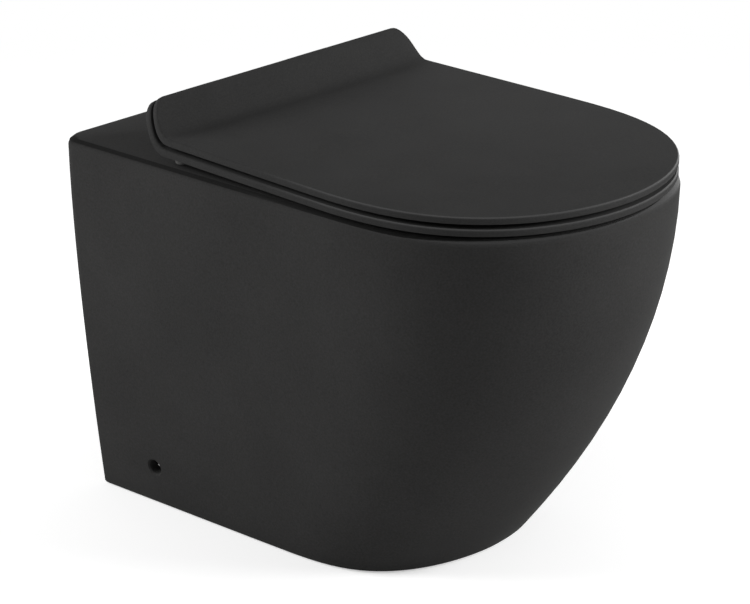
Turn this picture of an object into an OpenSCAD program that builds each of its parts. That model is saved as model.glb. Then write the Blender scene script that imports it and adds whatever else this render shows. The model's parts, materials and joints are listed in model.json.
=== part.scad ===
// Floor-standing back-to-wall toilet: a rimless pan in matt glazed china, a slim seat and a lid
// with a raised rear edge, and soft-close hinges that lift off for cleaning.
// The wall is behind (+Y), the user sits facing -Y, and the floor is Z = 0.
// A distance called "out" is measured from the wall towards the front, so y = half_depth - out.

/* [Pan] */
// Width of the pan at the rim
pan_width = 370; // [350:1:390]
// Depth of the pan, from the wall to the front of the rim
pan_depth = 564; // [540:1:580]
// Height of the rim above the floor
pan_height = 383.5; // [370:1:400]
// How far each side leans in between the rim and the floor
side_taper = 46; // [36:1:52]
// How far the foot stands back behind the front of the rim
front_undercut = 165.5; // [145:0.5:175]
// Thickness of the outer wall
skirt_wall = 12; // [9:0.5:14]
// Thickness of the deck
deck_wall = 14; // [11:0.5:18]
// Rounding of the outer edge of the rim
rim_round = 8.5; // [5:0.5:10]

/* [Bowl and waterways] */
// Half the width of the bowl's mouth
mouth_half = 138; // [128:1:144]
// Distance from the wall to the rear of the bowl's mouth
mouth_rear = 196; // [188:1:206]
// Width of the rim in front of the bowl's mouth
mouth_front_rim = 48; // [42:1:56]
// Thickness of the bowl and of the trapway
bowl_wall = 10; // [8:0.5:12]
// Radius of the trapway's bore
trap_bore = 33; // [30:0.5:35]
// Height of the outlet's centre above the floor
outlet_height = 180; // [175:1:185]
// Outside radius of the outlet spigot
outlet_radius = 51; // [49:0.5:53]
// Bore radius of the outlet spigot
outlet_bore = 41; // [38:0.5:43]
// Radius of the flush inlet's socket
inlet_bore = 29; // [27.5:0.5:31]
// Distance from the rim down to the flush inlet's centre
inlet_drop = 60; // [56:1:66]
// Radius of the side fixing holes
side_hole = 8; // [6:0.5:9]

/* [Seat and lid] */
// Thickness of the seat and of the lid
plate = 7.5; // [6:0.5:9]
// Gap between the seat and the lid
lid_gap = 4; // [3:0.5:5]
// Gap between the rim and the front edge of the seat
seat_gap = 1; // [0.8:0.1:2]
// Half the width of the seat and lid beside the bowl
seat_half = 190; // [187:1:194]
// Half the width of the seat and lid at the rear
seat_rear_half = 183; // [179:1:186]
// Height that the rear edge is raised by
ramp_rise = 32.5; // [31:0.5:34]
// Distance from the wall to the foot of the raised rear edge
ramp_foot = 143.5; // [142:0.5:145]
// Half the width of the opening in the seat
opening_half = 108; // [100:1:114]
// Length of the opening in the seat
opening_length = 288; // [270:1:300]
// Width of the seat in front of its opening
seat_nose = 72; // [64:1:80]

/* [Hinges] */
// Distance between the two fixing holes in the deck
hinge_spacing = 155; // [150:1:165]
// Radius of the fixing holes
deck_hole = 7.5; // [7:0.5:8.5]
// Width of a hinge block
block_width = 31; // [28:1:34]
// Radius of the hinge barrels
barrel_radius = 8; // [7.5:0.25:8.5]
// Radius of the hinge pins
pin_radius = 4; // [3.5:0.25:4.5]
// Radius of the studs that the hinges drop over
stud_radius = 6; // [5.5:0.25:6.5]
// Travel of the release buttons
button_travel = 2; // [1.5:0.25:2.25]

/* [Hidden] */
$fn = 64;

china = "#2f3032";
duroplast = "#35363a";
rubber = "#d8d8d4";
steel = "#b9bcc0";
moulding = "#3c3e42";

running = 0.05;
seating = 0.3;
seat_front = pan_depth + 1;
half_depth = seat_front / 2;

// Pan: curves of the outer skin, from the foot to the rim
side_curve = 1.39;
front_curve = 1.97;
skin_blend = 0.39;
foot_edge = 3;
foot_nose = 191;
rim_nose = 208;
foot_corner = 2;
rim_corner = 18;

function mix(a, b, t) = a + (b - a) * t;
function rise(z) = min(1, max(0, z / pan_height));
function skin_half(z) = pan_width / 2 - side_taper * pow(1 - rise(z), side_curve);
function skin_front(z) = pan_depth - front_undercut * pow(1 - rise(z), front_curve);
function skin_nose(z) = mix(foot_nose, rim_nose, pow(rise(z), skin_blend));
function skin_a(z) = mix(4.74, 2.94, pow(rise(z), skin_blend));
function skin_b(z) = mix(1.86, 2.05, pow(rise(z), skin_blend));
function skin_corner(z) = mix(foot_corner, rim_corner, rise(z));

// Half of an outline that is flat at the rear, straight at the side and curved in front.
// It runs from the rear along the side to the tip; "a" and "b" set how full the curve is.
function outline(rear, front, half_rear, half, nose, a, b, corner, turns, steps, extra = []) =
    let (shoulder = front - nose,
         lean = (half - half_rear) / (shoulder - rear),
         side = function (out) half - lean * (shoulder - out))
    concat(
        [for (i = [0:turns]) let (t = 90 * i / turns)
            [side(rear + corner) - corner * (1 - sin(t)), rear + corner * (1 - cos(t))]],
        [for (d = extra) [side(rear + corner + d), rear + corner + d]],
        [for (i = [0:steps]) let (t = 90 * i / steps, out = shoulder + nose * pow(sin(t), 2 / a))
            [side(out) * pow(cos(t), 2 / b), out]]
    );

// A closed ring of points from a half outline whose last point is the tip on the centre line
function ring(half, height) = let (n = len(half)) concat(
    [for (i = [0:n - 1]) [i == n - 1 ? 0 : half[i][0], half_depth - half[i][1], height(half[i][1])]],
    [for (i = [n - 2:-1:0]) [-half[i][0], half_depth - half[i][1], height(half[i][1])]]
);

// A solid through a list of rings, from the lowest to the highest
module loft(rings) {
    n = len(rings[0]);
    m = (n - 1) / 2;
    top = (len(rings) - 1) * n;
    sides = [for (k = [0:len(rings) - 2], i = [0:n - 1]) let (a = k * n, b = a + n, j = (i + 1) % n)
        each [[a + i, a + j, b + j], [a + i, b + j, b + i]]];
    cap = [for (i = [0:m - 1])
        i < m - 1 ? [i, i + 1, n - 2 - i, n - 1 - i] : [i, i + 1, i + 2]];
    lower = [for (f = cap) [for (i = [len(f) - 1:-1:0]) f[i]]];
    upper = [for (f = cap) [for (i = f) i + top]];
    polyhedron([for (r = rings) each r], concat(sides, lower, upper), convexity = 8);
}

module at_wall() {
    translate([0, half_depth, 0]) children();
}

// A cylinder lying along the Y axis, from one distance to another out from the wall
module tube_out(radius, from, to, height, x = 0) {
    translate([x, half_depth - from, height])
        rotate([90, 0, 0]) cylinder(r = radius, h = to - from);
}

// A cylinder lying along the X axis
module tube_across(radius, from, to, out, height) {
    translate([from, half_depth - out, height])
        rotate([0, 90, 0]) cylinder(r = radius, h = to - from);
}

// A box given by its limits across, out from the wall and up
module block(across, out, up) {
    translate([across[0], half_depth - out[1], up[0]])
        cube([across[1] - across[0], out[1] - out[0], up[1] - up[0]]);
}

// Pan
function skin_ring(z, inset, steps = 24, rear = 0) = ring(
    outline(rear + (rear < 0 ? 0 : inset), skin_front(z) - inset,
            skin_half(z) - inset, skin_half(z) - inset, skin_nose(z) - inset, skin_a(z), skin_b(z),
            rear < 0 ? 2 : skin_corner(z), 5, steps),
    function (out) z);

skin_heights = [for (i = [0:14]) foot_edge + (pan_height - rim_round - foot_edge) * i / 14];

module pan_skin() {
    loft(concat(
        [skin_ring(0, foot_edge), skin_ring(foot_edge * 0.3, foot_edge * 0.3)],
        [for (z = skin_heights) skin_ring(z, 0)],
        [for (t = [30, 60, 90]) skin_ring(pan_height - rim_round * (1 - sin(t)), rim_round * (1 - cos(t)))]
    ));
}

deck_under = pan_height - deck_wall;

module pan_hollow() {
    loft([for (z = [-1, 10, 40, 90, 150, 220, 300, deck_under])
        [for (p = skin_ring(max(z, 0), skirt_wall, 14, -1)) [p[0], p[1], z]]]);
}

// Bowl: each level has a half width, a rear, a front and how full the front is
trap_centre = 70;
mouth_front = pan_depth - mouth_front_rim;
ledge_drop = 46;
ledge = 9;
bowl_floor = trap_centre - trap_bore + 2;
bowl_levels = [
    [bowl_floor, trap_bore * 0.75, -4, 66],
    [bowl_floor + 14, trap_bore * 1.02, -8, 84],
    [bowl_floor + 40, trap_bore * 1.12, -8, 108],
    [bowl_floor + 80, trap_bore * 1.5, -4, 158],
    [bowl_floor + 125, trap_bore * 2.1, 0, 214],
    [bowl_floor + 175, trap_bore * 2.8, 4, 262]
];

function bowl_ring(z, half, rear, front, grow) = ring(
    outline(rear - grow, front + grow, half * 0.98 + grow, half + grow,
            (front - rear) * 0.56 + grow, 2.2, 2.1, half * 0.9 + grow, 7, 15),
    function (out) z);

module bowl(grow, top) {
    loft(concat(
        [for (l = bowl_levels) bowl_ring(l[0] - (l == bowl_levels[0] ? grow : 0), l[1],
                                         mouth_rear + l[2], mouth_rear + l[3], grow)],
        [bowl_ring(pan_height - ledge_drop - 18, mouth_half - ledge - 6, mouth_rear + 8,
                   mouth_front - ledge - 8, grow),
         bowl_ring(pan_height - ledge_drop, mouth_half - ledge, mouth_rear + 5, mouth_front - ledge, grow),
         bowl_ring(pan_height - ledge_drop + 5, mouth_half, mouth_rear, mouth_front, grow)],
        top
    ));
}

rim_inner_round = 6;
// A rounded edge is cut in steps of 30 degrees, and its last step runs on past the surface by this much
past_edge = 2 * (1 - sin(60));

module bowl_space() {
    bowl(0, concat(
        [for (t = [0, 30, 60])
            bowl_ring(pan_height - rim_inner_round * (1 - sin(t)), mouth_half, mouth_rear, mouth_front,
                      rim_inner_round * (1 - cos(t)))],
        [bowl_ring(pan_height + rim_inner_round * past_edge, mouth_half, mouth_rear, mouth_front,
                   rim_inner_round * 2)]
    ));
}

module bowl_shell() {
    bowl(bowl_wall, [bowl_ring(deck_under + 2, mouth_half, mouth_rear, mouth_front, bowl_wall)]);
}

// Trapway: a dip below the bowl, a climb to the weir and a level run to the outlet
dip_radius = 80;
dip_out = 205;
dip_enter = 42;
dip_leave = 50;
weir_radius = 50;
weir_height = outlet_height + 5;
climb = (weir_height - trap_centre - (dip_radius + weir_radius) * (1 - cos(dip_leave))) / sin(dip_leave);
climb_out = dip_out - dip_radius * sin(dip_leave);
climb_up = trap_centre + dip_radius * (1 - cos(dip_leave));
weir_out = climb_out - climb * cos(dip_leave);

// Stations of the trapway: distance out, height, slope of the way and radius
function trap_stations(radius, last) = concat(
    [for (i = [0:7]) let (t = mix(dip_enter, -dip_leave, i / 7))
        [dip_out + dip_radius * sin(t), trap_centre + dip_radius * (1 - cos(t)), t, radius]],
    [for (i = [0:4]) let (t = dip_leave * (1 - i / 4))
        [weir_out - weir_radius * (sin(dip_leave) - sin(t)),
         weir_height - weir_radius * (1 - cos(t)), -t, radius]],
    [[outlet_start, outlet_height, 0, last]]
);
outlet_start = 30;
outlet_root = outlet_bore + 5;

module trapway(radius, last) {
    sides = 20;
    stations = trap_stations(radius, last);
    points = [for (s = stations, i = [0:sides - 1]) let (t = 360 * i / sides, r = s[3] / cos(180 / sides))
        [r * sin(t), half_depth - (s[0] + r * cos(t) * -sin(s[2])), s[1] + r * cos(t) * cos(s[2])]];
    count = len(stations);
    walls = [for (k = [0:count - 2], i = [0:sides - 1])
        let (a = k * sides, b = a + sides, j = (i + 1) % sides)
        each [[a + i, b + i, b + j], [a + i, b + j, a + j]]];
    ends = [[for (i = [0:sides - 1]) i], [for (i = [sides - 1:-1:0]) (count - 1) * sides + i]];
    polyhedron(points, concat(walls, ends), convexity = 6);
}

inlet_height = pan_height - inlet_drop;
inlet_socket = 46;
inlet_way = 22;
spigot_end = 14;
spigot_root = 60;
chamber_half = 70;
chamber_depth = 34;
chamber_height = 15;
rear_web = [20, 31];
side_hole_out = 81.5;
side_hole_height = 41.5;
side_hole_edge = 1.5;

module pan() {
    color(china) difference() {
        union() {
            difference() {
                pan_skin();
                pan_hollow();
            }
            bowl_shell();
            trapway(trap_bore + bowl_wall, outlet_root);
            tube_out(outlet_radius, spigot_end, spigot_root, outlet_height);
            tube_out(inlet_bore + bowl_wall, rear_web[0] - 6, mouth_rear, inlet_height);
            block([-chamber_half - bowl_wall, chamber_half + bowl_wall],
                  [mouth_rear - chamber_depth - bowl_wall, mouth_rear + 2],
                  [inlet_height - chamber_height - bowl_wall, inlet_height + chamber_height + bowl_wall]);
            rear_cross_wall();
        }
        bowl_space();
        trapway(trap_bore, outlet_bore);
        tube_out(outlet_bore, 0, outlet_start + 2, outlet_height);
        tube_out(inlet_bore, 0, rear_web[0] - 6 + inlet_socket, inlet_height);
        tube_out(inlet_way, 0, mouth_rear - 4, inlet_height);
        block([-chamber_half, chamber_half], [mouth_rear - chamber_depth, mouth_rear + 30],
              [inlet_height - chamber_height, inlet_height + chamber_height]);
        for (side = [-1, 1]) {
            translate([side * hinge_spacing / 2, half_depth - post_out, deck_under - 1])
                cylinder(r = deck_hole, h = deck_wall + 2);
            side_fixing_hole(side);
        }
    }
}

// Upright wall across the back that carries the flush inlet
module rear_cross_wall() {
    web_low = outlet_height + outlet_radius + 14;
    lean = skin_half(web_low) - skirt_wall / 2;
    block([-lean, lean], rear_web, [web_low, deck_under + 1]);
}

module side_fixing_hole(side) {
    wall = skin_half(side_hole_height);
    x = side * wall;
    reach = skirt_wall * 1.6;
    lean = atan(skin_half(side_hole_height + 1) - wall);
    translate([x, half_depth - side_hole_out, side_hole_height]) rotate([0, side * (lean - 90), 0]) {
        translate([0, 0, -4]) cylinder(r = side_hole, h = reach + 4);
        translate([0, 0, -side_hole_edge])
            cylinder(r1 = side_hole + 2 * side_hole_edge, r2 = side_hole, h = 2 * side_hole_edge);
    }
}

// Seat and lid: both are plates under one top surface that rises to the rear
seat_slope = 0.017;
ramp_crest = 123;
ramp_blend = 8;
plate_corner = 22;
plate_nose = 234;
ramp_slope = ramp_rise / (ramp_foot - ramp_crest);
ramp_angle = atan(ramp_slope + seat_slope);
ramp_shift = tan(ramp_angle / 2);
stack = 2 * plate + lid_gap;
lid_top_front = pan_height + seat_gap + stack;

function ramp(d) = d <= -ramp_blend ? 0
    : d >= ramp_blend ? ramp_slope * d
    : ramp_slope * pow(d + ramp_blend, 2) / (4 * ramp_blend);
function lid_top(out) = lid_top_front + seat_slope * (seat_front - out) + ramp(ramp_foot - out);
// Height of the surface that lies a given depth under the lid's top
function under(out, depth) = lid_top(out + ramp_shift * depth) - depth;

seat_top = plate + lid_gap;
seat_under = stack;
edge_top = 2.4;
edge_low = 1.6;

function plate_ring(depth, inset, grow = 0) = ring(
    outline(ramp_crest - depth * sin(ramp_angle) + inset * cos(ramp_angle), seat_front - inset,
            seat_rear_half - inset, seat_half - inset, plate_nose - inset, 2.74, 1.96,
            plate_corner - inset, 10, 22, [5, 12]),
    function (out) under(out, depth));

module slim_plate(depth) {
    low = depth + plate;
    loft(concat(
        [for (t = [90, 50, 0]) plate_ring(low - edge_low * (1 - sin(t)), edge_low * (1 - cos(t)))],
        [for (t = [0, 30, 60, 90]) plate_ring(depth + edge_top * (1 - sin(t)), edge_top * (1 - cos(t)))]
    ));
}

function opening_ring(depth, grow) = ring(
    outline(seat_front - seat_nose - opening_length - grow, seat_front - seat_nose + grow,
            opening_half - 3 + grow, opening_half + grow, opening_length * 0.52 + grow, 2.3, 2.05,
            opening_half * 0.86 + grow, 8, 15),
    function (out) under(out, depth));

module seat_opening() {
    loft(concat(
        [opening_ring(seat_under + 2, edge_low + 2), opening_ring(seat_under - edge_low, 0)],
        [for (t = [0, 30, 60]) opening_ring(seat_top + edge_top * (1 - sin(t)), edge_top * (1 - cos(t)))],
        [opening_ring(seat_top - edge_top * past_edge, edge_top * 2)]
    ));
}

module seat() {
    color(duroplast) difference() {
        slim_plate(seat_top);
        seat_opening();
        for (side = [-1, 1]) {
            lid_arm_slot(side);
            for (p = screw_places(seat_ear(side), seat_pad(side), seat_pad_to))
                arm_screw(p, seat_face, 0.02);
            for (b = concat(front_buffers, rear_buffers)) buffer_hole(side * b[0], b[1], seat_under);
        }
    }
}

// The lid's arm reaches through the raised rear of the seat
module lid_arm_slot(side) {
    in_side_view(lid_pad(side)[0] - slot_room, lid_pad(side)[1] + slot_room)
        translate([-20, seat_face - 4]) square([20 + lid_pad_to + slot_room, plate + 8]);
}

module lid() {
    color(duroplast) difference() {
        slim_plate(0);
        for (side = [-1, 1]) {
            for (b = lid_pads) buffer_hole(side * b[0], b[1], plate);
            for (p = screw_places(lid_ear(side), lid_pad(side), lid_pad_to))
                arm_screw(p, lid_face, 0.02);
        }
    }
}

// Rubber buffers, each with a peg in the plate above it
buffer_radius = 8;
buffer_peg = 2.5;
peg_length = 3.5;
buffer_play = 0.01;
front_buffers = [[seat_half - 57, seat_front - 111]];
rear_buffers = [[seat_rear_half - 16, ramp_crest + 30]];
lid_pads = [[seat_half - 40, ramp_crest + 92], [62, seat_front - 39]];

// Places something on a tilted underside, with +Z along the underside's normal
module on_underside(x, out, depth) {
    translate([x, half_depth - out, under(out, depth)]) rotate([atan(seat_slope), 0, 0]) children();
}

module buffer_hole(x, out, depth) {
    on_underside(x, out, depth) translate([0, 0, -0.5])
        cylinder(r = buffer_peg + running, h = peg_length + 0.7, $fn = 32);
}

module buffer(x, out, depth, height, radius) {
    on_underside(x, out, depth) translate([0, 0, -buffer_play]) union() {
        translate([0, 0, -height]) cylinder(r1 = radius - 1, r2 = radius, h = height, $fn = 48);
        cylinder(r = buffer_peg, h = peg_length, $fn = 32);
    }
}

module seat_buffers(places) {
    color(rubber) for (side = [-1, 1], b = places) union()
        buffer(side * b[0], b[1], seat_under, under(b[1], seat_under) - pan_height - seating - 0.2,
               buffer_radius);
}
module seat_buffers_front() { seat_buffers(front_buffers); }
module seat_buffers_rear() { seat_buffers(rear_buffers); }

module lid_buffers() {
    color(rubber) for (side = [-1, 1], b = lid_pads) union()
        buffer(side * b[0], b[1], plate, lid_gap - seating, 6);
}

// Hinge axis, behind and below the raised rear edge
axis_back = 37;
axis_drop = 24.5;
axis_out = ramp_crest - axis_back;
axis_height = lid_top(ramp_crest) - axis_drop;
face_gap = axis_back * sin(ramp_angle) + axis_drop * cos(ramp_angle);
post_out = axis_out;
hinge_x = hinge_spacing / 2;
block_inner = hinge_x - block_width / 2;
block_outer = hinge_x + block_width / 2;
ear_gap = 2;
ear_width = 10;
ear_radius = 8;

// Side view of a hinge part: +X runs down the ramp, +Y towards the lid, and the origin is the axis
module in_side_view(from, to) {
    translate([from, half_depth - axis_out, axis_height])
        rotate([ramp_angle, 0, 0]) rotate([90, 0, -90]) mirror([0, 0, 1])
            linear_extrude(to - from) children();
}

gasket = 1.5;
flange = 3;
flange_radius = 15;
post_base = pan_height + gasket;
stud_rise = 15;
stud_top = post_base + flange + stud_rise;
bolt_radius = 3;
sleeve_length = 40;
nut_length = 9;

module hinge_posts() {
    color(steel) for (side = [-1, 1])
        translate([side * hinge_x, half_depth - post_out, post_base]) difference() {
            union() {
                cylinder(r = flange_radius, h = flange);
                cylinder(r = stud_radius, h = stud_top - post_base - 1);
                translate([0, 0, stud_top - post_base - 1])
                    cylinder(r1 = stud_radius, r2 = stud_radius - 1, h = 1);
            }
            translate([0, 0, stud_top - post_base - 6]) cylinder(r = 3.4, h = 7, $fn = 6);
            translate([0, 0, 8]) rotate_extrude() translate([stud_radius - 0.8, 0]) square([2, 3]);
            translate([0, 0, -1]) cylinder(r = bolt_radius, h = 8);
        }
}

module fixing_bolts() {
    color(steel) for (side = [-1, 1])
        translate([side * hinge_x, half_depth - post_out, pan_height - sleeve_length - nut_length - 2])
            cylinder(r = bolt_radius, h = post_base + 6 - (pan_height - sleeve_length - nut_length - 2));
}

module base_gaskets() {
    color("#202020") for (side = [-1, 1])
        translate([side * hinge_x, half_depth - post_out, pan_height]) difference() {
            cylinder(r = flange_radius, h = gasket);
            translate([0, 0, -1]) cylinder(r = bolt_radius + 0.2, h = gasket + 2);
        }
}

module expanding_sleeves() {
    bulge = deck_hole + 3;
    inside = bolt_radius + running;
    color("#202020") for (side = [-1, 1])
        translate([side * hinge_x, half_depth - post_out, pan_height]) rotate_extrude() polygon([
            [inside, 0], [deck_hole - 0.2, 0], [deck_hole - 0.2, -deck_wall - 0.2], [bulge, -deck_wall - 3],
            [bulge, -sleeve_length + 8], [deck_hole - 1, -sleeve_length], [inside, -sleeve_length]]);
}

module sleeve_nuts() {
    color("#b08d4f") for (side = [-1, 1])
        translate([side * hinge_x, half_depth - post_out, pan_height - sleeve_length - nut_length])
            difference() {
                cylinder(r = deck_hole - 1, h = nut_length, $fn = 6);
                translate([0, 0, -1]) cylinder(r = bolt_radius, h = nut_length + 2);
            }
}

damper_radius = 6;
damper_length = 22;
shaft_radius = 3;
pin_seat = 7;
foot_radius = 16;
foot_low = post_base + flange + seating;
foot_high = foot_low + 13;
web_rear = axis_out - barrel_radius;
web_front = axis_out + barrel_radius;
foot_rear = axis_out - 18.5;
boss_half = 9;
button_low = foot_low + 3;
button_size = [11, 9.5, 7];
button_proud = 3;
pocket_depth = 11;

// The damper sits in the inner end of the left block and in the outer end of the right one
module hinge_block(side) {
    low = side < 0 ? -block_outer : block_inner;
    high = low + block_width;
    inward = side < 0 ? high : low;
    damper_from = high - damper_length;
    color(moulding) difference() {
        union() {
            tube_across(barrel_radius, low, high, axis_out, axis_height);
            block([low, high], [web_rear, web_front], [foot_high - 3, axis_height]);
            translate([side * hinge_x, half_depth - post_out, foot_low])
                cylinder(r = foot_radius, h = foot_high - foot_low);
            block([side * hinge_x - boss_half, side * hinge_x + boss_half], [foot_rear, axis_out],
                  [foot_low, foot_high]);
        }
        tube_across(damper_radius, damper_from, high + 1, axis_out, axis_height);
        tube_across(pin_radius, low - 1, low + pin_seat, axis_out, axis_height);
        translate([side * hinge_x, half_depth - post_out, foot_low - 1])
            cylinder(r = stud_radius + running, h = stud_top - foot_low + 2);
        block([side * hinge_x - button_size[0] / 2 - 0.2, side * hinge_x + button_size[0] / 2 + 0.2],
              [foot_rear - 1, foot_rear + pocket_depth],
              [button_low - 0.2, button_low + button_size[2] + 0.2]);
    }
}
module hinge_block_left() { hinge_block(-1); }
module hinge_block_right() { hinge_block(1); }

// Ends of the blocks along X: the damper end and the pin end
function pin_end(side) = side < 0 ? -block_outer : block_inner;
function damper_end(side) = pin_end(side) + block_width;

module hinge_pin(side) {
    from = pin_end(side) - ear_gap - ear_width;
    color(steel) tube_across(pin_radius, from, pin_end(side) + pin_seat, axis_out, axis_height);
}
module hinge_pin_left() { hinge_pin(-1); }
module hinge_pin_right() { hinge_pin(1); }

module damper(side) {
    end = damper_end(side);
    color("#d9d9d6") difference() {
        tube_across(damper_radius, end - damper_length, end, axis_out, axis_height);
        tube_across(shaft_radius + running, end - damper_length + 3, end + 1, axis_out, axis_height);
    }
}
module seat_damper() { damper(-1); }
module lid_damper() { damper(1); }

flat_cut = 1;

// Driving end of a damper's shaft, with two flats
module shaft_flats(from, to, clearance) {
    r = pin_radius + clearance;
    intersection() {
        tube_across(r, from, to, axis_out, axis_height);
        translate([from, half_depth - axis_out, axis_height]) rotate([ramp_angle, 0, 0])
            translate([0, -r - 1, -r + flat_cut]) cube([to - from, 2 * r + 2, 2 * (r - flat_cut)]);
    }
}

module damper_shaft(side) {
    end = damper_end(side);
    color(steel) union() {
        tube_across(shaft_radius, end - damper_length + 4, end + ear_gap, axis_out, axis_height);
        shaft_flats(end + 1, end + ear_gap + ear_width, 0);
    }
}
module seat_damper_shaft() { damper_shaft(-1); }
module lid_damper_shaft() { damper_shaft(1); }

pad_thick = 3.4;
pad_from = 5;
seat_pad_to = 31;
lid_pad_to = 29;
slot_room = 1.5;
lid_face = face_gap - plate;
seat_face = face_gap - stack;
screw_radius = 2;
screw_head = 3.4;
screw_length = 5;

// An ear on the hinge axis and a lever to a pad, which is screwed to the plate it carries
module hinge_arm(ear, pad, face, pad_to, toothed) {
    color(steel) difference() {
        union() {
            in_side_view(ear[0], ear[1]) {
                circle(ear_radius);
                polygon([[-ear_radius + 0.8, 1.2], [pad_from + 0.6, face - 1], [pad_to - 8, face - 1],
                         [ear_radius - 0.9, -2.8]]);
            }
            in_side_view(pad[0], pad[1])
                translate([pad_from, face - pad_thick]) square([pad_to - pad_from, pad_thick]);
        }
        if (toothed) shaft_flats(ear[0] - 1, ear[1] + 1, running);
        else tube_across(pin_radius + running, ear[0] - 1, ear[1] + 1, axis_out, axis_height);
        for (p = screw_places(ear, pad, pad_to)) arm_screw(p, face, 0.02);
    }
}
// Screw places as [across, down the ramp], on the part of the pad beside the lever
function screw_places(ear, pad, pad_to) =
    let (free = ear[0] - pad[0] > pad[1] - ear[1] ? (pad[0] + ear[0]) / 2 : (pad[1] + ear[1]) / 2)
    [[free, pad_from + 6], [free, pad_to - 6]];

module arm_screw(place, face, clearance) {
    translate([place[0], half_depth - axis_out, axis_height]) rotate([ramp_angle, 0, 0])
        translate([0, -place[1], face - pad_thick]) {
            cylinder(r = screw_radius + clearance, h = pad_thick + screw_length + clearance, $fn = 24);
            cylinder(r1 = screw_head + clearance, r2 = screw_radius, h = 1.8, $fn = 32);
        }
}

// Each ear stands beside its block: the seat's towards the middle, the lid's towards the side
function seat_ear(side) = side < 0 ? [damper_end(-1) + ear_gap, damper_end(-1) + ear_gap + ear_width]
    : [pin_end(1) - ear_gap - ear_width, pin_end(1) - ear_gap];
function lid_ear(side) = side < 0 ? [pin_end(-1) - ear_gap - ear_width, pin_end(-1) - ear_gap]
    : [damper_end(1) + ear_gap, damper_end(1) + ear_gap + ear_width];
function widened(ear, low, high) = [ear[0] - low, ear[1] + high];
pad_lip = 0.5;
seat_wing = 14;
lid_wing = 12;
function seat_pad(side) = side < 0 ? widened(seat_ear(-1), pad_lip, seat_wing)
    : widened(seat_ear(1), seat_wing, pad_lip);
function lid_pad(side) = side < 0 ? widened(lid_ear(-1), lid_wing, pad_lip)
    : widened(lid_ear(1), pad_lip, lid_wing);

module seat_arm(side, toothed) {
    hinge_arm(seat_ear(side), seat_pad(side), seat_face, seat_pad_to, toothed);
}
module lid_arm(side, toothed) {
    hinge_arm(lid_ear(side), lid_pad(side), lid_face, lid_pad_to, toothed);
}
module seat_arm_left() { seat_arm(-1, true); }
module seat_arm_right() { seat_arm(1, false); }
module lid_arm_left() { lid_arm(-1, false); }
module lid_arm_right() { lid_arm(1, true); }

module seat_arm_screws() {
    color(steel) for (side = [-1, 1], p = screw_places(seat_ear(side), seat_pad(side), seat_pad_to)) union()
        arm_screw(p, seat_face, 0);
}
module lid_arm_screws() {
    color(steel) for (side = [-1, 1], p = screw_places(lid_ear(side), lid_pad(side), lid_pad_to)) union()
        arm_screw(p, lid_face, 0);
}

// Release buttons, in pockets in the rear of the blocks, each on a coil spring
module release_button(side) {
    face = foot_rear - button_proud;
    across = [side * hinge_x - button_size[0] / 2, side * hinge_x + button_size[0] / 2];
    color("#9a9da1") difference() {
        block(across, [face, face + button_size[1]], [button_low, button_low + button_size[2]]);
        for (i = [-1, 0, 1]) block([side * hinge_x + 3 * i - 0.5, side * hinge_x + 3 * i + 0.5],
                                   [face - 1, face + 0.6],
                                   [button_low + 1, button_low + button_size[2] - 1]);
    }
}
module release_button_left() { release_button(-1); }
module release_button_right() { release_button(1); }

spring_from = foot_rear - button_proud + button_size[1] + 0.1;
spring_to = foot_rear + pocket_depth - 0.1;
spring_radius = 2.2;
wire = 0.25;
spring_turns = 3;

module button_spring(side) {
    steps = spring_turns * 10;
    sides = 5;
    length = spring_to - spring_from - 2 * wire;
    points = [for (k = [0:steps], i = [0:sides - 1])
        let (turn = 360 * spring_turns * k / steps, t = 360 * i / sides, r = spring_radius + wire * cos(t))
        [side * hinge_x + r * cos(turn),
         half_depth - (spring_from + wire + length * k / steps + wire * sin(t)),
         button_low + button_size[2] / 2 + r * sin(turn)]];
    walls = [for (k = [0:steps - 1], i = [0:sides - 1])
        let (a = k * sides, b = a + sides, j = (i + 1) % sides)
        each [[a + i, a + j, b + j], [a + i, b + j, b + i]]];
    ends = [[for (i = [sides - 1:-1:0]) i], [for (i = [0:sides - 1]) steps * sides + i]];
    color(steel) polyhedron(points, concat(walls, ends), convexity = 6);
}
module button_spring_left() { button_spring(-1); }
module button_spring_right() { button_spring(1); }

pan();
seat();
lid();
seat_buffers_front();
seat_buffers_rear();
lid_buffers();
hinge_posts();
fixing_bolts();
expanding_sleeves();
sleeve_nuts();
base_gaskets();
hinge_block_left();
hinge_block_right();
hinge_pin_left();
hinge_pin_right();
seat_damper();
seat_damper_shaft();
lid_damper();
lid_damper_shaft();
seat_arm_left();
seat_arm_right();
lid_arm_left();
lid_arm_right();
seat_arm_screws();
lid_arm_screws();
release_button_left();
release_button_right();
button_spring_left();
button_spring_right();
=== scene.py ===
# %% [markdown]
# # A matt black floor-standing toilet
# The measured solids of the toilet are loaded first and stay where they are: the china pan, the
# seat, the lid, and the hinges behind them. What is added here is what a camera sees: smooth
# skins, a glaze with its small unevenness, bare clay at the back, moulded plastic, rubber and
# steel, a pale studio, and a camera that stands where the photographer stood.

# %% Load the solids
import json
import math

import bpy
from mathutils import Matrix, Vector


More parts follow.
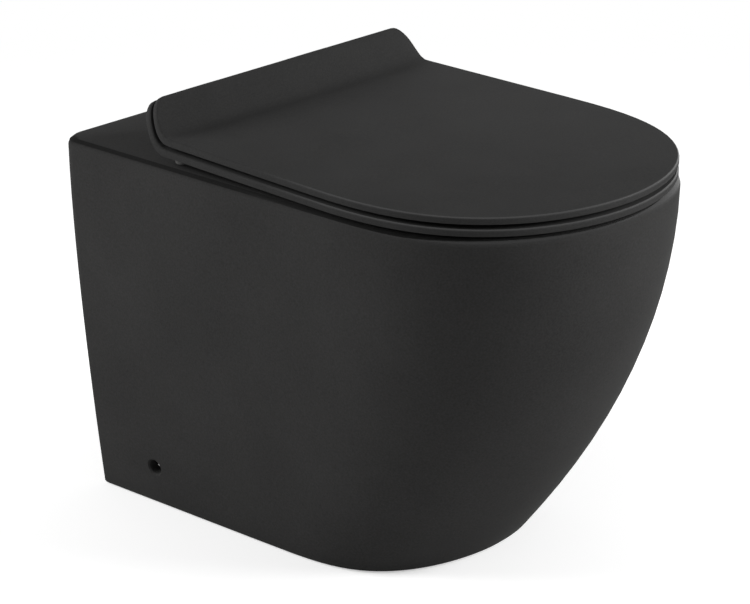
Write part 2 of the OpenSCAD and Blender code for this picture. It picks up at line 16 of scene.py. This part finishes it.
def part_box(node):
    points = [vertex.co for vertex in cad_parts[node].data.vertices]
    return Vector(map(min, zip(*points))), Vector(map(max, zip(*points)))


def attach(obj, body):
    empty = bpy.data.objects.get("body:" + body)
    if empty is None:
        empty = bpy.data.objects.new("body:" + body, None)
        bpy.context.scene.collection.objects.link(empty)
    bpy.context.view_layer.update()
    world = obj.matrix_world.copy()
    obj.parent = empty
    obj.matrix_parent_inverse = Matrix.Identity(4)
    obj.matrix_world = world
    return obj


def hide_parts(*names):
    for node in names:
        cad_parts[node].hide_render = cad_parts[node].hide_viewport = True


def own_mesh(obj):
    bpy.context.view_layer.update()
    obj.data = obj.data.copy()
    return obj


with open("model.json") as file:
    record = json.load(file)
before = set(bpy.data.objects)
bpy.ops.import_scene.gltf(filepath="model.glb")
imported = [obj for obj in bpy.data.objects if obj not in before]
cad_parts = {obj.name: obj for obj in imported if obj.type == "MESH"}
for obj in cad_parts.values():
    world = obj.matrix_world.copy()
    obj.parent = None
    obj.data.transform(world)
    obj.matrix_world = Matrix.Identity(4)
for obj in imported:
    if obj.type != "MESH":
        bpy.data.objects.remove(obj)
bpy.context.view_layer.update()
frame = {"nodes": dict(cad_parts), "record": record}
nodes = frame["nodes"]

# %% [markdown]
# ## The camera
# The toilet was photographed with a long lens, because its edges hardly converge. One could place
# a camera by eye and nudge it. Fitting it to the outlines of the skirt and lid is surer, and gives
# the turn, the height and the distance below. A long lens far away is better than a short one
# close by, which would swell the front of the lid.

# %% Camera
turn = math.radians(-47.35)
lift = math.radians(20.2)
distance = 3.5605
shift_right = 0.0018
shift_up = 0.0292
aim = Vector((0, 0.0367, 0.18906))

back = Vector((math.sin(turn) * math.cos(lift), -math.cos(turn) * math.cos(lift), math.sin(lift)))
right = Vector((math.cos(turn), math.sin(turn), 0))
up = back.cross(right)
stand = aim + distance * back + shift_right * right + shift_up * up

lens = bpy.data.cameras.new("long_lens")
lens.sensor_fit = "HORIZONTAL"
lens.sensor_width = 36
lens.lens = 172.8
lens.clip_end = 50
camera = bpy.data.objects.new("camera", lens)
camera.matrix_world = Matrix.Translation(stand) @ Matrix((right, up, back)).transposed().to_4x4()
bpy.context.scene.collection.objects.link(camera)
bpy.context.scene.camera = camera
print("camera stands at", [round(v, 3) for v in stand])

# %% [markdown]
# ## Short words for node trees
# A material in Blender is a tree of nodes joined by links. Built in code, each node takes several
# lines, and the idea gets lost among them. Four helpers with plain names keep each tree as short
# as the sentence that describes it: place a node, feed it a number or another node's output,
# reckon a sum or a comparison, and ease softly from 0 to 1.

# %% Helpers for nodes
def place(tree, kind, **settings):
    node = tree.nodes.new(kind)
    for key, value in settings.items():
        setattr(node, key, value)
    return node


def feed(tree, value, socket):
    """Gives a socket a fixed value, or links another node's output to it."""
    if isinstance(value, bpy.types.NodeSocket):
        tree.links.new(value, socket)
    else:
        socket.default_value = value


def reckon(tree, operation, *values):
    """One sum, product or comparison of numbers and outputs."""
    made = place(tree, "ShaderNodeMath", operation=operation)
    for socket, value in zip(made.inputs, values):
        feed(tree, value, socket)
    return made.outputs[0]


def ease(tree, value, low, high):
    """0 at low, 1 at high, and soft between them."""
    made = place(tree, "ShaderNodeMapRange", interpolation_type="SMOOTHSTEP")
    feed(tree, low, made.inputs["From Min"])
    feed(tree, high, made.inputs["From Max"])
    feed(tree, value, made.inputs["Value"])
    return made.outputs["Result"]


print("words for nodes:", [word.__name__ for word in (place, feed, reckon, ease)])

# %% [markdown]
# ## The studio
# The photograph has no visible floor edge: everything behind the toilet is white. One way is to
# pour light on a white sheet, but that would also wash out the black glaze. Here the floor and
# the air are ordinary pale things to the light, and look white only to the camera, to reflections
# and through glass.

# %% White to the eye
WHITE = (1, 1, 1, 1)


def glow(tree, kind, strength):
    made = place(tree, kind)
    feed(tree, WHITE, made.inputs["Color"])
    feed(tree, strength, made.inputs["Strength"])
    return made.outputs[0]


def mix_shaders(tree, factor, first, second):
    made = place(tree, "ShaderNodeMixShader")
    for socket, value in zip(made.inputs, (factor, first, second)):
        feed(tree, value, socket)
    return made.outputs[0]


def white_to_the_eye(tree, ordinary, white, ending):
    """Shows white to camera, glossy and transmission rays, and the ordinary shader to the light."""
    rays = place(tree, "ShaderNodeLightPath").outputs
    eye = reckon(tree, "MAXIMUM", rays["Is Camera Ray"], rays["Is Glossy Ray"])
    eye = reckon(tree, "MAXIMUM", eye, rays["Is Transmission Ray"])
    feed(tree, mix_shaders(tree, eye, ordinary, white), place(tree, ending).inputs["Surface"])


print("white is", WHITE[:3])

# %% [markdown]
# ## The floor
# A photographer stands such a thing on a white sweep of paper. A floor that only glows would be
# white everywhere, but the toilet would seem to float. So near the toilet the floor is pale paint
# with a little light added, which still takes the soft shadow under the skirt. Further out it
# fades to plain white, so that a low view shows no grey horizon.

# %% Floor
PALE_PAINT = (0.8, 0.8, 0.8, 1)
ADDED_LIGHT = 0.42
SHADOW_ENDS, WHITE_STARTS = 0.7, 1.8
FLOOR_SIZE, FLOOR_HEIGHT = 30, -0.0005


def new_material(name):
    made = bpy.data.materials.new(name)
    made.use_nodes = True
    made.node_tree.nodes.clear()
    return made


floor_paint = new_material("studio_floor")
tree = floor_paint.node_tree
paint = place(tree, "ShaderNodeBsdfDiffuse")
feed(tree, PALE_PAINT, paint.inputs["Color"])
lifted = place(tree, "ShaderNodeAddShader")
feed(tree, paint.outputs[0], lifted.inputs[0])
feed(tree, glow(tree, "ShaderNodeEmission", ADDED_LIGHT), lifted.inputs[1])
away = place(tree, "ShaderNodeVectorMath", operation="LENGTH")
feed(tree, place(tree, "ShaderNodeNewGeometry").outputs["Position"], away.inputs[0])
far = ease(tree, away.outputs["Value"], SHADOW_ENDS, WHITE_STARTS)
seen_floor = mix_shaders(tree, far, lifted.outputs[0], glow(tree, "ShaderNodeEmission", 1))
white_to_the_eye(tree, paint.outputs[0], seen_floor, "ShaderNodeOutputMaterial")

bpy.ops.mesh.primitive_plane_add(size=FLOOR_SIZE, location=(0, 0, FLOOR_HEIGHT))
floor = bpy.context.object
floor.name = "studio_floor"
floor.data.materials.append(floor_paint)
print("floor at", round(floor.location.z, 4))

# %% [markdown]
# ## The air
# In a white studio light comes from every side. A faint even light all round stands for it and
# keeps the shadows open. A picture of a real studio would do this too, but it would be a second
# file to carry along.

# %% Air
AIR_LIGHT = 0.25

world = bpy.data.worlds.new("studio_air")
bpy.context.scene.world = world
world.use_nodes = True
tree = world.node_tree
tree.nodes.clear()
white_to_the_eye(tree, glow(tree, "ShaderNodeBackground", AIR_LIGHT),
                 glow(tree, "ShaderNodeBackground", 1), "ShaderNodeOutputWorld")
print("air lights with", AIR_LIGHT)

# %% [markdown]
# ## The lamps
# The shape of the skirt comes from two large softboxes, one behind on the left and one in front on
# the right. Their places were worked out from how bright the lid, the ramp, the sides and the
# front are in the photograph. Large lamps suit a matt surface better than small ones, which would
# leave hard spots.

# %% Soft lamps
BOX_SIZE = (2.0, 1.2)
LIT_POINT = Vector((0, 0, 0.2))


def softbox(name, stands_at, watts):
    light = bpy.data.lights.new(name, "AREA")
    light.shape = "RECTANGLE"
    light.size, light.size_y = BOX_SIZE
    light.energy = watts
    lamp = bpy.data.objects.new(name, light)
    lamp.location = stands_at
    towards = LIT_POINT - Vector(stands_at)
    lamp.rotation_euler = towards.to_track_quat("-Z", "Y").to_euler()
    bpy.context.scene.collection.objects.link(lamp)


softbox("rear_left_box", (-1.772, 1.968, 1.608), 80)
softbox("front_right_box", (1.636, -2.171, 1.468), 100)
bpy.context.scene.view_settings.view_transform = "Standard"

# %% [markdown]
# ## Smooth skins
# The curved solids are made of many small flat faces. Casting or pressing gives a skin without
# them, so neighbouring faces share one normal wherever they meet at a small angle, and stay
# sharp at real edges. A small node tree does this as a modifier, so that the mesh itself
# stays as it was measured.

# %% Smoothing by angle
SHARP_FROM = math.radians(28)
WELD_WITHIN = 0.00002


def smoothing():
    made = bpy.data.node_groups.new("smooth_skin", "GeometryNodeTree")
    for way in ("INPUT", "OUTPUT"):
        made.interface.new_socket("Geometry", in_out=way, socket_type="NodeSocketGeometry")
    skin = place(made, "NodeGroupInput").outputs[0]
    angle = place(made, "GeometryNodeInputMeshEdgeAngle").outputs["Unsigned Angle"]
    sharp = place(made, "FunctionNodeCompare", operation="GREATER_THAN")
    feed(made, angle, sharp.inputs["A"])
    feed(made, SHARP_FROM, sharp.inputs["B"])
    soft = place(made, "FunctionNodeBooleanMath", operation="NOT")
    feed(made, sharp.outputs["Result"], soft.inputs[0])
    weld = place(made, "GeometryNodeMergeByDistance")
    feed(made, WELD_WITHIN, weld.inputs["Distance"])
    faces = place(made, "GeometryNodeSetShadeSmooth", domain="FACE")
    edges = place(made, "GeometryNodeSetShadeSmooth", domain="EDGE")
    feed(made, soft.outputs[0], edges.inputs["Shade Smooth"])
    for step in (weld, faces, edges):
        feed(made, skin, step.inputs["Geometry"])
        skin = step.outputs["Geometry"]
    feed(made, skin, place(made, "NodeGroupOutput").inputs[0])
    return made


smooth_skin = smoothing()
for solid in nodes.values():
    solid.modifiers.new("smooth_skin", "NODES").node_group = smooth_skin
print("smoothed:", len(nodes))

# %% [markdown]
# ## Effects that several finishes share
# Real surfaces are never one even value. Each effect below is a group of nodes, built once and
# placed in the materials with their own numbers. A group has named inputs and outputs, like a
# function, so one change mends every finish that uses it.

# %% Helpers for groups
def socket_kind(default):
    """A number makes a value socket, three numbers a vector socket, and four a colour socket."""
    if isinstance(default, float):
        return "NodeSocketFloat"
    return "NodeSocketVector" if len(default) == 3 else "NodeSocketColor"


def start_group(name, inputs, outputs):
    made = bpy.data.node_groups.new(name, "ShaderNodeTree")
    for way, sockets in (("INPUT", inputs), ("OUTPUT", outputs)):
        for title, default in sockets.items():
            socket = made.interface.new_socket(title, in_out=way, socket_type=socket_kind(default))
            socket.default_value = default
    return made, place(made, "NodeGroupInput").outputs, place(made, "NodeGroupOutput").inputs


def on_the_piece(tree):
    """A point's own place on its piece. It stays with the piece when a joint moves it."""
    return place(tree, "ShaderNodeTexCoord").outputs["Object"]


def noise(tree, vector, scale, detail):
    made = place(tree, "ShaderNodeTexNoise")
    feed(tree, vector, made.inputs["Vector"])
    feed(tree, scale, made.inputs["Scale"])
    feed(tree, detail, made.inputs["Detail"])
    return made.outputs["Fac"]


print("sockets of a group:", [socket_kind(default) for default in (1.0, (0, 0, 0), WHITE)])

# %% [markdown]
# ### Mottling
# A sprayed glaze lies a little thicker here and thinner there, and fine dust settles in it. A slow
# noise shifts colour and roughness over a few centimetres, and a fast one adds speckle. Painted
# spots would need an image; noise needs none and has no seam.

# %% Mottling group
CLOUD_DETAIL, SPECKLE_DETAIL = 3, 1
NOISE_MIDDLE = 0.5

mottling, given, result = start_group(
    "mottling",
    {"Scale": 20.0, "Depth": 0.2, "Speckle scale": 700.0, "Speckle": 0.1, "Dull": 0.5,
     "Spread": 0.06, "Colour": WHITE},
    {"Colour": WHITE, "Roughness": 0.5})
where = on_the_piece(mottling)
cloud = reckon(mottling, "SUBTRACT", noise(mottling, where, given["Scale"], CLOUD_DETAIL),
               NOISE_MIDDLE)
dots = reckon(mottling, "SUBTRACT",
              noise(mottling, where, given["Speckle scale"], SPECKLE_DETAIL), NOISE_MIDDLE)
clouded = reckon(mottling, "MULTIPLY_ADD", cloud, given["Depth"], 1)
brightness = reckon(mottling, "MULTIPLY_ADD", dots, given["Speckle"], clouded)
tint = place(mottling, "ShaderNodeVectorMath", operation="SCALE")
feed(mottling, given["Colour"], tint.inputs[0])
feed(mottling, brightness, tint.inputs["Scale"])
feed(mottling, tint.outputs[0], result["Colour"])
feed(mottling, reckon(mottling, "MULTIPLY_ADD", cloud, given["Spread"], given["Dull"]),
     result["Roughness"])
print("mottling group has", len(mottling.nodes), "nodes")

# %% [markdown]
# ### Grain
# Light skims over a matt surface and shows its tiny unevenness: the skin of the glaze, the etched
# mould of a plastic, the brush lines of steel. One fine and one wavy noise add up to a height for
# a Bump node. Stretching the noise along one axis turns grains into brush lines.

# %% Grain group
FINE_DETAIL, WAVE_DETAIL = 2, 1

grain, given, result = start_group(
    "grain",
    {"Fine scale": 900.0, "Fine height": 0.5, "Wave scale": 40.0, "Wave height": 0.5,
     "Stretch": (1, 1, 1)},
    {"Height": 0.0})
stretched = place(grain, "ShaderNodeVectorMath", operation="MULTIPLY")
feed(grain, on_the_piece(grain), stretched.inputs[0])
feed(grain, given["Stretch"], stretched.inputs[1])
fine = noise(grain, stretched.outputs[0], given["Fine scale"], FINE_DETAIL)
wave = noise(grain, stretched.outputs[0], given["Wave scale"], WAVE_DETAIL)
waves = reckon(grain, "MULTIPLY", wave, given["Wave height"])
feed(grain, reckon(grain, "MULTIPLY_ADD", fine, given["Fine height"], waves), result["Height"])
print("grain group has", len(grain.nodes), "nodes")

# %% [markdown]
# ### Masks
# A mask is 1 where an effect belongs and 0 elsewhere. Painting masks by hand takes an image for
# each piece. Here they come from where a point is on its piece and which way its skin faces, so
# they are sharp at any distance and move with the piece.

# %% Helpers for masks
def above(tree, value, limit):
    return reckon(tree, "GREATER_THAN", value, limit)


def below(tree, value, limit):
    return reckon(tree, "LESS_THAN", value, limit)


def all_of(tree, *masks):
    """White only where every mask is white."""
    product = masks[0]
    for mask in masks[1:]:
        product = reckon(tree, "MULTIPLY", product, mask)
    return product


def spot_and_lean(tree):
    """Where a point is on its piece, and which way its skin faces, each as X, Y and Z."""
    coordinates = place(tree, "ShaderNodeTexCoord").outputs
    split = []
    for title in ("Object", "Normal"):
        parts = place(tree, "ShaderNodeSeparateXYZ")
        feed(tree, coordinates[title], parts.inputs[0])
        split.append(parts.outputs)
    return split


print("words for masks:", [word.__name__ for word in (above, below, all_of, spot_and_lean)])

# %% [markdown]
# ### Rounded edges
# A rounded edge has its colour darkened there: painted shade, for the shade that falls on it, as on
# the pan's rim under the seat's edge. Hands and cloths make the front edges slightly silky. The
# rounded edges are found by how far the skin leans: flat tops point up, walls point sideways, and
# only a rounded edge lies between. One limit keeps the mask out of the bowl, and the silky part
# fades away towards the rear.

# %% Rounded edge group
WALL_TO_EDGE = (0.1, 0.4)
TOP_TO_EDGE = (0.99, 0.9)
REAR_TO_FRONT = (0.06, -0.16)

rounded_edge, given, result = start_group(
    "rounded_edge", {"Lowest": 0.0, "Silk": 0.1, "Thin": 0.0}, {"Silky": 0.0, "ShadedTone": 1.0})
spot, lean = spot_and_lean(rounded_edge)
off_the_wall = ease(rounded_edge, lean["Z"], *WALL_TO_EDGE)
off_the_top = ease(rounded_edge, lean["Z"], *TOP_TO_EDGE)
high_enough = above(rounded_edge, spot["Z"], given["Lowest"])
rounding = all_of(rounded_edge, off_the_wall, off_the_top, high_enough)
in_front = ease(rounded_edge, spot["Y"], *REAR_TO_FRONT)
feed(rounded_edge, all_of(rounded_edge, rounding, in_front, given["Silk"]), result["Silky"])
# Painted shade: the colour on the rounding is darkened by the given amount.
painted_shade = reckon(rounded_edge, "MULTIPLY", rounding, given["Thin"])
feed(rounded_edge, reckon(rounded_edge, "SUBTRACT", 1, painted_shade), result["ShadedTone"])
print("rounded edge group has", len(rounded_edge.nodes), "nodes")

# %% [markdown]
# ### Bare clay
# Nobody glazes what the wall hides. Behind the bowl, between the two sides, the pan shows its pale
# clay with a mist of black spray on it, and so do the ground edges that stand against the wall.
# The pan is one solid, so a second material would need its faces sorted. The place of a point
# tells which is which: the pan's half width is a curve of the height, and everything clearly
# inside that curve, behind the bowl and under the deck, is bare.

# %% Bare clay: between the sides
HALF_WIDTH, SIDES_LEAN_IN, LEAN_CURVE = 0.185, 0.046, 1.39
INTO_THE_SIDE = 0.0105
DECK_THICKNESS = 0.0125
BOWL_ENDS, FOOT_ENDS, NEAR_WALL = 0.105, 0.05, 0.0015

_, wall, rim = [round(v, 4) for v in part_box("pan")[1]]
bare_clay, given, result = start_group(
    "bare_clay",
    {"Half width": HALF_WIDTH, "Lean": SIDES_LEAN_IN, "Height": rim,
     "Deck": rim - DECK_THICKNESS, "Bowl end": BOWL_ENDS, "Wall": wall - NEAR_WALL,
     "Foot": FOOT_ENDS},
    {"Bare": 0.0})
spot, lean = spot_and_lean(bare_clay)
depth_down = reckon(bare_clay, "SUBTRACT", 1,
                    reckon(bare_clay, "DIVIDE", spot["Z"], given["Height"]))
leaning = reckon(bare_clay, "POWER", reckon(bare_clay, "MAXIMUM", depth_down, 0), LEAN_CURVE)
half_width = reckon(bare_clay, "SUBTRACT", given["Half width"],
                    reckon(bare_clay, "MULTIPLY", leaning, given["Lean"]))
between_sides = below(bare_clay, reckon(bare_clay, "ABSOLUTE", spot["X"]),
                      reckon(bare_clay, "SUBTRACT", half_width, INTO_THE_SIDE))
under_deck = below(bare_clay, spot["Z"], given["Deck"])
print("the wall is at", wall, "and the rim at", rim)

# %% [markdown]
# Water runs through the flush chamber, the climbing pipe and the outlet, so their insides are
# glazed although they lie in the same space. A pipe is a line with a radius: a point is inside
# where its distance from that line is small. Squares are compared, which saves the root.

# %% Bare clay: pipes and chamber stay glazed
OUTLET_HEIGHT, OUTLET_REACH = 0.18, 0.0425
CLIMB_Y, CLIMB_Z, CLIMB_TOP, CLIMB_REACH = 0.1388, 0.0986, 0.175, 0.036
CLIMB_RUN, CLIMB_RISE = 0.643, 0.766
CHAMBER_FLOOR, CROSS_WALL = 0.27, 0.2

across = reckon(bare_clay, "MULTIPLY", spot["X"], spot["X"])
off_outlet = reckon(bare_clay, "SUBTRACT", spot["Z"], OUTLET_HEIGHT)
from_outlet = reckon(bare_clay, "MULTIPLY_ADD", off_outlet, off_outlet, across)
outside_outlet = above(bare_clay, from_outlet, OUTLET_REACH ** 2)

over_climb = reckon(bare_clay, "SUBTRACT", spot["Z"], CLIMB_Z)
behind_climb = reckon(bare_clay, "SUBTRACT", spot["Y"], CLIMB_Y)
off_climb = reckon(bare_clay, "SUBTRACT", reckon(bare_clay, "MULTIPLY", over_climb, CLIMB_RUN),
                   reckon(bare_clay, "MULTIPLY", behind_climb, CLIMB_RISE))
from_climb = reckon(bare_clay, "MULTIPLY_ADD", off_climb, off_climb, across)
outside_climb = reckon(bare_clay, "MAXIMUM", above(bare_clay, spot["Z"], CLIMB_TOP),
                       above(bare_clay, from_climb, CLIMB_REACH ** 2))

outside_chamber = reckon(bare_clay, "MAXIMUM", below(bare_clay, spot["Z"], CHAMBER_FLOOR),
                         above(bare_clay, spot["Y"], CROSS_WALL))
climb_angle = math.degrees(math.atan2(CLIMB_RISE, CLIMB_RUN))
print("the pipe climbs at", round(climb_angle), "degrees")

# %% [markdown]
# The spray gun reaches round the edges, so bare clay never ends at a sharp line. One noise moves
# the border behind the bowl, moves the border of the glazed band near the floor, and leaves a
# mist on the rest.

# %% Bare clay: the mist of spray
MIST_SCALE, MIST_DETAIL = 14, 5
BOWL_BORDER_SWAY, BOWL_BORDER = 0.06, (0.03, 0.06)
FOOT_BORDER_SWAY, FOOT_BORDER = 0.04, (0.02, 0.10)
SIDEWAYS_TO_REAR = (0.6, 0.8)
THICK_TO_THIN_MIST = (0.62, 0.42)
BARE_IN_THIN_MIST, BARE_IN_THICK_MIST = 0.95, 0.5

mist = noise(bare_clay, on_the_piece(bare_clay), MIST_SCALE, MIST_DETAIL)
swayed = reckon(bare_clay, "MULTIPLY_ADD", mist, BOWL_BORDER_SWAY, spot["Y"])
past_bowl = reckon(bare_clay, "SUBTRACT", swayed, given["Bowl end"])
hidden_space = all_of(bare_clay, between_sides, outside_chamber, under_deck, outside_outlet,
                      outside_climb, ease(bare_clay, past_bowl, *BOWL_BORDER))
ground_edge = all_of(bare_clay, above(bare_clay, spot["Y"], given["Wall"]),
                     ease(bare_clay, lean["Y"], *SIDEWAYS_TO_REAR))
over_foot = reckon(bare_clay, "MULTIPLY_ADD", mist, FOOT_BORDER_SWAY,
                   reckon(bare_clay, "SUBTRACT", spot["Z"], given["Foot"]))
thin_mist = ease(bare_clay, mist, *THICK_TO_THIN_MIST)
misted = reckon(bare_clay, "MULTIPLY_ADD", thin_mist, BARE_IN_THIN_MIST - BARE_IN_THICK_MIST,
                BARE_IN_THICK_MIST)
either = reckon(bare_clay, "MAXIMUM", hidden_space, ground_edge)
feed(bare_clay, all_of(bare_clay, either, ease(bare_clay, over_foot, *FOOT_BORDER), misted),
     result["Bare"])
print("bare clay group has", len(bare_clay.nodes), "nodes")

# %% [markdown]
# ## Groups in a finish
# A group is placed in a material as one node. The rounded edges feed the coat, which is the silky
# film over the skin, and darken the colour with painted shade. The bare clay covers the skin's
# colour, and leaves it drier. A second material for the clay would leave a hard border, which no
# spray gun makes.

# %% Edges and clay on a skin
SILK_ROUGHNESS = 0.14
CLAY_DRIER_BY = 0.25


def use_group(tree, group, **values):
    """Places a group with its numbers: Fine_scale=900 sets the input Fine scale."""
    made = place(tree, "ShaderNodeGroup", node_tree=group)
    for title, value in values.items():
        feed(tree, value, made.inputs[title.replace("_", " ")])
    return made.outputs


def with_rounded_edges(tree, shader, colour, lowest, silk, shade_by):
    edges = use_group(tree, rounded_edge, Lowest=lowest, Silk=silk, Thin=shade_by)
    feed(tree, edges["Silky"], shader.inputs["Coat Weight"])
    feed(tree, SILK_ROUGHNESS, shader.inputs["Coat Roughness"])
    # Painted shade: the colour is darkened on the rounded edges.
    shaded_colour = place(tree, "ShaderNodeVectorMath", operation="SCALE")
    feed(tree, colour, shaded_colour.inputs[0])
    feed(tree, edges["ShadedTone"], shaded_colour.inputs["Scale"])
    return shaded_colour.outputs[0]


def with_bare_clay(tree, colour, roughness, clay):
    bare = use_group(tree, bare_clay)["Bare"]
    showing = place(tree, "ShaderNodeMix", data_type="RGBA")
    feed(tree, bare, showing.inputs["Factor"])
    feed(tree, colour, showing.inputs["A"])
    feed(tree, (*clay, 1), showing.inputs["B"])
    drier = reckon(tree, "MULTIPLY_ADD", bare, CLAY_DRIER_BY, roughness)
    return showing.outputs["Result"], drier


print("silk has roughness", SILK_ROUGHNESS, "and clay adds", CLAY_DRIER_BY)

# %% [markdown]
# ## A finish from the groups
# Every finish of this toilet is the same small tree: mottling for colour and roughness, grain for
# the bump, and one Principled shader. So one function builds them all, and each finish is only a
# list of numbers. The china and the seat add their rounded edges, and the china its bare clay.

# %% Finish
BUMP_DEPTH = 0.001


def finish(name, colour, dull, spread=0.06, depth=0.2, cloud=20, speckle=(700, 0.1),
           fine=(900, 0.4), wave=(40, 0.4), stretch=(1, 1, 1), bump=0.05, metal=0.0,
           edge=None, clay=None, **sockets):
    made = new_material(name)
    tree = made.node_tree
    shader = place(tree, "ShaderNodeBsdfPrincipled")
    feed(tree, shader.outputs[0], place(tree, "ShaderNodeOutputMaterial").inputs["Surface"])
    skin = use_group(tree, mottling, Colour=(*colour, 1), Scale=cloud, Depth=depth, Dull=dull,
                     Spread=spread, Speckle_scale=speckle[0], Speckle=speckle[1])
    relief = use_group(tree, grain, Fine_scale=fine[0], Fine_height=fine[1], Wave_scale=wave[0],
                       Wave_height=wave[1], Stretch=stretch)
    dent = place(tree, "ShaderNodeBump")
    feed(tree, bump, dent.inputs["Strength"])
    feed(tree, BUMP_DEPTH, dent.inputs["Distance"])
    feed(tree, relief["Height"], dent.inputs["Height"])
    feed(tree, dent.outputs[0], shader.inputs["Normal"])
    skin_colour, roughness = skin["Colour"], skin["Roughness"]
    if edge:
        skin_colour = with_rounded_edges(tree, shader, skin_colour, *edge)
    if clay:
        skin_colour, roughness = with_bare_clay(tree, skin_colour, roughness, clay)
    feed(tree, skin_colour, shader.inputs["Base Color"])
    feed(tree, roughness, shader.inputs["Roughness"])
    feed(tree, metal, shader.inputs["Metallic"])
    for title, value in sockets.items():
        feed(tree, value, shader.inputs[title.replace("_", " ")])
    return made


print("built from:", [group.name for group in (mottling, grain, rounded_edge, bare_clay)])

# %% [markdown]
# ## Matt black china
# The pan is a clay body under a satin-matt glaze: dark, slightly cloudy, with a very slow waviness
# from the mould. A clear coat over a dark colour is the usual way to make a glaze, but it would
# shine. In the photograph the china reflects about 3 % of the light, and nearly all of that is
# scattered, so the specular level is very low. The rim's rounding gets a thin dark line of painted
# shade, for the shade under the seat's edge.

# %% China
MATT = 0.011

# The last number of edge darkens the rounded edges: painted shade.
china = finish("matt_black_glaze", (0.0312, 0.0310, 0.0307), 0.66, spread=0.05, depth=0.35,
               cloud=9, speckle=(520, 0.5), fine=(1500, 0.25), wave=(22, 0.8), bump=0.12,
               edge=(0.366, 0.7, 0.65), clay=(0.60, 0.565, 0.50), Specular_IOR_Level=MATT)
print(china.name, "has", len(china.node_tree.nodes), "nodes")

# %% [markdown]
# ## Pressed plastic of seat and lid
# Seat and lid are pressed from a thermoset powder in a polished mould. They have the same black as
# the china, but are flatter: the cloud, the waves and the bump are all weaker. Their front edges
# are silky, and their rounded edges get no painted shade.

# %% Seat and lid
duroplast = finish("pressed_matt_plastic", (0.0312, 0.0311, 0.0309), 0.66, spread=0.04, depth=0.3,
                   cloud=14, speckle=(650, 0.5), fine=(2600, 0.3), wave=(16, 0.2), bump=0.06,
                   edge=(0.38, 0.8, 0.0), Specular_IOR_Level=MATT)
print(duroplast.name, "has", len(duroplast.node_tree.nodes), "nodes")

# %% [markdown]
# ## Rubber
# The buffers under seat and lid are smoky grey, so that they hardly show in the gap. Light could
# be let into them, as into the real rubber, but in so narrow a gap a plain grey looks the same.
# The gaskets on the deck and the sleeves in it are black rubber, a little duller and coarser.

# %% Rubbers
smoky_rubber = finish("smoky_rubber", (0.085, 0.085, 0.083), 0.6, cloud=60, bump=0.05)
dark_rubber = finish("black_rubber", (0.018, 0.018, 0.018), 0.7, cloud=60, bump=0.1)
print("rubbers:", smoky_rubber.name, dark_rubber.name)

# %% [markdown]
# ## Metal
# The hinge arms are brushed steel. Brushing leaves long fine lines, which an image could show too,
# but only at one size. So the grain is stretched across the arms, and the roughness varies a lot.
# The brass nuts of the fixings are turned and stay smoother.

# %% Metals
steel = finish("brushed_steel", (0.40, 0.40, 0.41), 0.42, spread=0.12, depth=0.12, cloud=80,
               fine=(600, 0.6), stretch=(0.06, 1, 1), bump=0.12, metal=1.0)
brass = finish("turned_brass", (0.60, 0.44, 0.20), 0.34, cloud=80, bump=0.06, metal=1.0)
print("metals:", steel.name, brass.name)

# %% [markdown]
# ## Mouldings of the hinges
# The hinge blocks are black nylon with a fine etched grain, the release buttons are grey with the
# same grain, and the dampers inside the blocks are plain white and glossier, since nobody sees
# them in use. Cutting the grain into the meshes would take millions of faces, so the bump shows
# it instead.

# %% Hinge mouldings
block_plastic = finish("black_moulding", (0.028, 0.028, 0.030), 0.5, fine=(1800, 0.6), bump=0.12)
damper_plastic = finish("white_moulding", (0.62, 0.62, 0.60), 0.38, cloud=50, bump=0.03)
button_plastic = finish("grey_moulding", (0.20, 0.205, 0.21), 0.45, fine=(1800, 0.6), bump=0.1)
print("mouldings:", block_plastic.name, damper_plastic.name, button_plastic.name)

# %% [markdown]
# ## Which piece gets which finish
# The measured model already says what each piece is made of. Going by that list is safer than
# naming 29 pieces by hand, because no piece can be left out.

# %% Finishes on the pieces
by_slot = {
    "china": china, "duroplast": duroplast,
    "buffer_rubber": smoky_rubber, "black_rubber": dark_rubber,
    "steel": steel, "brass": brass,
    "block_plastic": block_plastic, "damper_plastic": damper_plastic,
    "button_plastic": button_plastic,
}
slot_of = {part["node"]: part["material_slot"] for part in frame["record"]["subparts"]}
for name, solid in nodes.items():
    solid.data.materials.clear()
    solid.data.materials.append(by_slot[slot_of[name]])
print("finishes:", len(by_slot), "on", len(nodes), "pieces")

# %% [markdown]
# ## The springs behind the buttons
# A release button slides 2 mm into its block and presses a small coil spring together. A rigid
# spring would stick into the button. Each one is swapped for a copy of the same coil, hung on the
# hinges, which keeps its length.

for side in ("left", "right"):
    spring_name = "button_spring_" + side
    coil = bpy.data.objects.new("sprung_coil_" + side, nodes[spring_name].data.copy())
    bpy.context.scene.collection.objects.link(coil)
    coil.modifiers.new("smooth_skin", "NODES").node_group = smooth_skin
    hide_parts(spring_name)
    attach(coil, "hinges")
    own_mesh(coil)
